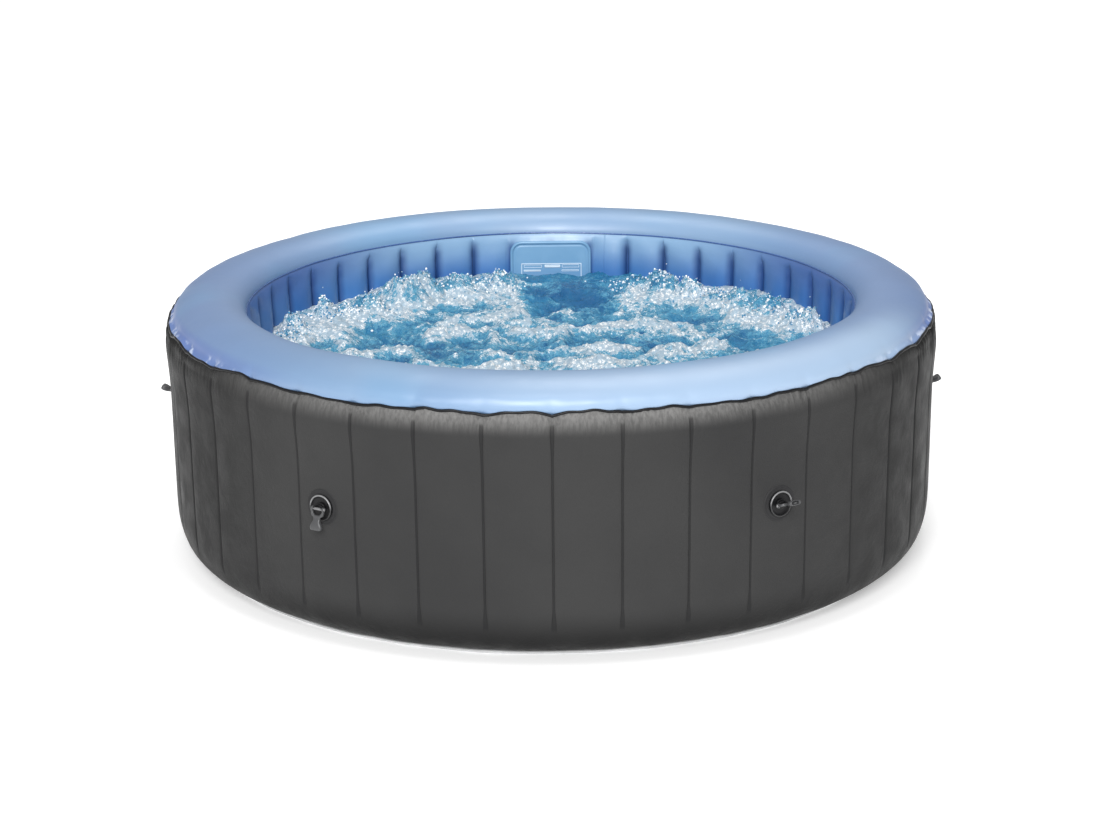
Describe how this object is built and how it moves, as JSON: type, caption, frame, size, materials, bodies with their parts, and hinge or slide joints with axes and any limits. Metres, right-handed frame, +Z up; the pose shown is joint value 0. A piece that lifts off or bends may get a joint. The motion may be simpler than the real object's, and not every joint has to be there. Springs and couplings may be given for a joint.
{
  "type": "inflatable hot tub",
  "caption": "Round inflatable hot tub with a ribbed double wall, soft top ring, cover buckles, filter, valves and a plug-in heater, pump and air blower unit.",
  "frame": {"origin": "centre of the ground mat's underside, on the ground", "axes": "+Z up, -Y towards the front of the tub, +Y towards the heater unit at the back, +X to the right seen from the front"},
  "size_m": [2.1497, 2.4138, 0.713],
  "materials": {
    "mat_foam": "woven silver-grey ground cloth",
    "wall_pvc": "matte charcoal laminated sheet with a fine fabric grain",
    "ring_pvc": "satin light blue sheet",
    "liner_pvc": "satin mid blue sheet",
    "web_fabric": "coated mesh fabric",
    "black_trim": "moulded black, fine grain",
    "dark_plastic": "moulded dark grey",
    "white_plastic": "moulded white",
    "unit_plastic": "textured mid grey moulding",
    "gloss_black": "glossy black",
    "button_grey": "soft touch light grey",
    "display_glass": "smoked window",
    "seal_rubber": "matte black rubber",
    "filter_paper": "pleated paper",
    "motor_steel": "bare pressed steel",
    "heater_steel": "stainless tube",
    "board_green": "solder-masked board",
    "water": "clear blue churning water",
    "foam": "white bubbles"
  },
  "bodies": {
    "tub": {"ground_mat": "mat_foam", "bottom_sheet": "wall_pvc", "inner_floor": "liner_pvc", "outer_wall": "wall_pvc", "inner_wall": "liner_pvc", "top_ring": "ring_pvc", "rim_welt": "black_trim", "web_straps": "web_fabric", "service_panel": "liner_pvc", "port_plate": "dark_plastic", "bubble_channel": "liner_pvc", "suction_fitting": "white_plastic", "return_fitting": "white_plastic", "air_fitting": "white_plastic", "port_gaskets": "seal_rubber", "port_nuts": "dark_plastic", "return_grille": "white_plastic", "air_drop_pipe": "liner_pvc", "inflation_valve": "dark_plastic", "drain_valve": "dark_plastic", "buckle_patches": "wall_pvc", "buckle_bases": "black_trim", "unit_tray": "dark_plastic", "unit_casing": "unit_plastic", "unit_feet": "seal_rubber", "control_fascia": "gloss_black", "display_lens": "display_glass", "intake_grille": "dark_plastic", "blower_housing": "white_plastic", "blower_motor": "motor_steel", "pump_housing": "dark_plastic", "pump_motor": "motor_steel", "heater_tube": "heater_steel", "circuit_board": "board_green", "cable_gland": "dark_plastic"},
    "swivel_front_left": {"buckle_swivel_front_left": "black_trim"},
    "buckle_front_left": {"buckle_front_left": "black_trim"},
    "swivel_front_right": {"buckle_swivel_front_right": "black_trim"},
    "buckle_front_right": {"buckle_front_right": "black_trim"},
    "swivel_side_left": {"buckle_swivel_side_left": "black_trim"},
    "buckle_side_left": {"buckle_side_left": "black_trim"},
    "swivel_side_right": {"buckle_swivel_side_right": "black_trim"},
    "buckle_side_right": {"buckle_side_right": "black_trim"},
    "filter": {"filter_cartridge": "filter_paper"},
    "filter_cap": {"filter_cap": "white_plastic"},
    "inflation_cap": {"inflation_cap": "dark_plastic"},
    "inflation_plunger": {"inflation_plunger": "white_plastic"},
    "drain_cap": {"drain_cap": "dark_plastic"},
    "drain_plug": {"drain_plug": "white_plastic"},
    "nut_suction": {"coupling_nut_suction": "dark_plastic"},
    "nut_return": {"coupling_nut_return": "dark_plastic"},
    "nut_air": {"coupling_nut_air": "dark_plastic"},
    "button_heat": {"button_heat": "button_grey"},
    "button_filter": {"button_filter": "button_grey"},
    "button_bubbles": {"button_bubbles": "button_grey"},
    "button_up": {"button_up": "button_grey"},
    "button_down": {"button_down": "button_grey"},
    "handle": {"carry_handle": "dark_plastic"},
    "blower_impeller": {"blower_impeller": "dark_plastic"},
    "pump_impeller": {"pump_impeller": "dark_plastic"}
  },
  "joints": [
    {"name": "swivel_front_left", "type": "hinge", "parent": "tub", "child": "swivel_front_left", "pos_m": [-0.56861, -0.85882, 0.365], "axis": [-0.5521, -0.8338, 0], "continuous": true},
    {"name": "flip_front_left", "type": "hinge", "parent": "swivel_front_left", "child": "buckle_front_left", "pos_m": [-0.57303, -0.8655, 0.365], "axis": [-0.8338, 0.5521, 0], "range_deg": [-14, 162]},
    {"name": "swivel_front_right", "type": "hinge", "parent": "tub", "child": "swivel_front_right", "pos_m": [0.55808, -0.86571, 0.365], "axis": [0.5418, -0.8405, 0], "continuous": true},
    {"name": "flip_front_right", "type": "hinge", "parent": "swivel_front_right", "child": "buckle_front_right", "pos_m": [0.56241, -0.87243, 0.365], "axis": [0.8405, 0.5418, 0], "range_deg": [-72, 104]},
    {"name": "swivel_side_left", "type": "hinge", "parent": "tub", "child": "swivel_side_left", "pos_m": [-1.01595, 0.16953, 0.365], "axis": [-0.9864, 0.1646, 0], "continuous": true},
    {"name": "flip_side_left", "type": "hinge", "parent": "swivel_side_left", "child": "buckle_side_left", "pos_m": [-1.02384, 0.17085, 0.365], "axis": [-0.1646, -0.9864, 0], "range_deg": [-68, 108]},
    {"name": "swivel_side_right", "type": "hinge", "parent": "tub", "child": "swivel_side_right", "pos_m": [1.01595, 0.16953, 0.365], "axis": [0.9864, 0.1646, 0], "continuous": true},
    {"name": "flip_side_right", "type": "hinge", "parent": "swivel_side_right", "child": "buckle_side_right", "pos_m": [1.02384, 0.17085, 0.365], "axis": [-0.1646, 0.9864, 0], "range_deg": [-62, 114]},
    {"name": "filter_pull", "type": "slide", "parent": "tub", "child": "filter", "axis": [0, -1, 0], "range_m": [0, 0.11]},
    {"name": "filter_cap_turn", "type": "hinge", "parent": "filter", "child": "filter_cap", "pos_m": [-0.075, 0.68, 0.19], "axis": [0, -1, 0], "range_deg": [0, 45]},
    {"name": "inflation_cap_turn", "type": "hinge", "parent": "tub", "child": "inflation_cap", "pos_m": [0.48356, 0.90944, 0.54], "axis": [0.4695, 0.8829, 0], "range_deg": [0, 270]},
    {"name": "inflation_plunger_press", "type": "slide", "parent": "tub", "child": "inflation_plunger", "axis": [-0.4695, -0.8829, 0], "range_m": [0, 0.006], "stiffness_N_per_m": 900, "springref_m": -0.003},
    {"name": "drain_cap_turn", "type": "hinge", "parent": "tub", "child": "drain_cap", "pos_m": [-0.4859, 0.91385, 0.152], "axis": [-0.4695, 0.8829, 0], "range_deg": [0, 540]},
    {"name": "drain_plug_pull", "type": "slide", "parent": "tub", "child": "drain_plug", "axis": [0.4695, -0.8829, 0], "range_m": [0, 0.04]},
    {"name": "nut_suction_turn", "type": "hinge", "parent": "tub", "child": "nut_suction", "pos_m": [-0.075, 1.05, 0.19], "axis": [0, -1, 0], "range_deg": [0, 540]},
    {"name": "nut_return_turn", "type": "hinge", "parent": "tub", "child": "nut_return", "pos_m": [0.075, 1.05, 0.19], "axis": [0, -1, 0], "range_deg": [0, 540]},
    {"name": "nut_air_turn", "type": "hinge", "parent": "tub", "child": "nut_air", "pos_m": [0, 1.05, 0.35], "axis": [0, -1, 0], "range_deg": [0, 540]},
    {"name": "button_heat_press", "type": "slide", "parent": "tub", "child": "button_heat", "axis": [0, 0, -1], "range_m": [0, 0.0012], "stiffness_N_per_m": 1500, "springref_m": -0.001},
    {"name": "button_filter_press", "type": "slide", "parent": "tub", "child": "button_filter", "axis": [0, 0, -1], "range_m": [0, 0.0012], "stiffness_N_per_m": 1500, "springref_m": -0.001},
    {"name": "button_bubbles_press", "type": "slide", "parent": "tub", "child": "button_bubbles", "axis": [0, 0, -1], "range_m": [0, 0.0012], "stiffness_N_per_m": 1500, "springref_m": -0.001},
    {"name": "button_up_press", "type": "slide", "parent": "tub", "child": "button_up", "axis": [0, 0, -1], "range_m": [0, 0.0012], "stiffness_N_per_m": 1500, "springref_m": -0.001},
    {"name": "button_down_press", "type": "slide", "parent": "tub", "child": "button_down", "axis": [0, 0, -1], "range_m": [0, 0.0012], "stiffness_N_per_m": 1500, "springref_m": -0.001},
    {"name": "handle_lift", "type": "hinge", "parent": "tub", "child": "handle", "pos_m": [0, 1.22, 0.38], "axis": [1, 0, 0], "range_deg": [0, 125]},
    {"name": "blower_spin", "type": "hinge", "parent": "tub", "child": "blower_impeller", "pos_m": [0.045, 1.23, 0.35], "axis": [0, 0, 1], "continuous": true},
    {"name": "pump_spin", "type": "hinge", "parent": "tub", "child": "pump_impeller", "pos_m": [-0.075, 1.13, 0.19], "axis": [0, 1, 0], "continuous": true}
  ]
}
